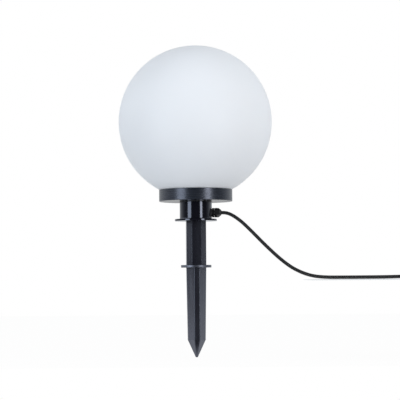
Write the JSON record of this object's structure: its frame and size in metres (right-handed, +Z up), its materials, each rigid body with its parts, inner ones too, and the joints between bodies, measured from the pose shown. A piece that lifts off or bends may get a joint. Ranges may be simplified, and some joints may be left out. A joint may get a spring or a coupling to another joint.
{
  "type": "garden globe light",
  "caption": "Garden light with an opal globe on a black screw collar, socket and eight-sided post, held by a ground spike, with a rubber lead and plug.",
  "frame": {"origin": "on the lamp's vertical axis at the level of the ground that the spike is pushed into", "axes": "+Z up along the lamp's axis, +X to the side that the lead leaves on, -Y the front seen in the picture"},
  "size_m": [0.7231, 0.3, 0.6087],
  "materials": {
    "opal": "opal acrylic, satin",
    "collar_black": "satin black, turned",
    "gloss_black": "gloss black moulding",
    "rubber_black": "matt black",
    "gland_black": "fine-grained black",
    "seal": "matt",
    "zinc_steel": "bright zinc",
    "brass": "plain",
    "phenolic": "moulded phenolic",
    "ceramic": "glazed",
    "cap_metal": "rolled",
    "insulator": "dark vitrite",
    "white_plastic": "white moulding",
    "board": "circuit board",
    "light_plate": "white-coated",
    "chip": "phosphor",
    "bulb_opal": "opal",
    "block_white": "polyamide",
    "brown_wire": "insulation",
    "blue_wire": "insulation",
    "pin_metal": "nickel plated"
  },
  "bodies": {
    "lamp": {"bracket_screws": "zinc_steel", "cable": "rubber_black", "cable_coil": "rubber_black", "cable_tail": "rubber_black", "centre_contact": "brass", "coil_tie": "gland_black", "collar": "collar_black", "collar_gasket": "seal", "collar_screws": "zinc_steel", "core_live": "brown_wire", "core_neutral": "blue_wire", "gland_body": "gland_black", "gland_insert": "seal", "gland_lock_nut": "gland_black", "gland_seal_ring": "seal", "ground_spike": "gloss_black", "holder_insert": "ceramic", "holder_nipple": "brass", "lampholder_body": "phenolic", "lampholder_bracket": "zinc_steel", "lead_live": "brown_wire", "lead_neutral": "blue_wire", "nipple_nuts": "brass", "plug_body": "rubber_black", "plug_pins": "pin_metal", "plug_strain_relief": "rubber_black", "post": "gloss_black", "post_screws": "zinc_steel", "screw_shell": "brass", "socket_body": "gloss_black", "spike_lock_screw": "zinc_steel", "terminal_block": "block_white", "terminal_screws": "zinc_steel", "terminal_tubes": "brass"},
    "globe_carrier": {"globe_seal": "seal"},
    "globe": {"globe_shell": "opal"},
    "bulb_carrier": {"bulb_foot_contact": "brass"},
    "bulb": {"bulb_insulator": "insulator", "bulb_cap": "cap_metal", "bulb_housing": "white_plastic", "bulb_driver_board": "board", "bulb_light_plate": "light_plate", "light_chips": "chip", "bulb_glass": "bulb_opal"},
    "nut_carrier": {"gland_washer": "gland_black"},
    "gland_nut": {"gland_nut": "gland_black"}
  },
  "joints": [
    {"name": "globe_lift", "type": "slide", "parent": "lamp", "child": "globe_carrier", "axis": [0, 0, 1], "range_m": [0, 0.004]},
    {"name": "globe_turn", "type": "hinge", "parent": "globe_carrier", "child": "globe", "pos_m": [0, 0, 0.16], "axis": [0, 0, 1], "range_deg": [0, 360]},
    {"name": "bulb_lift", "type": "slide", "parent": "lamp", "child": "bulb_carrier", "axis": [0, 0, 1], "range_m": [0, 0.01633]},
    {"name": "bulb_turn", "type": "hinge", "parent": "bulb_carrier", "child": "bulb", "pos_m": [0, 0, 0.19], "axis": [0, 0, 1], "range_deg": [0, 1620]},
    {"name": "gland_nut_travel", "type": "slide", "parent": "lamp", "child": "nut_carrier", "axis": [1, 0, 0], "range_m": [0, 0.0045]},
    {"name": "gland_nut_turn", "type": "hinge", "parent": "nut_carrier", "child": "gland_nut", "pos_m": [0, 0, 0.131], "axis": [1, 0, 0], "range_deg": [0, 1080]}
  ],
  "couplings": [
    {"joint": "globe_lift", "follows": "globe_turn", "m_per_rad": 0.00063662},
    {"joint": "bulb_lift", "follows": "bulb_turn", "m_per_rad": 0.00057773},
    {"joint": "gland_nut_travel", "follows": "gland_nut_turn", "m_per_rad": 0.00023873}
  ]
}
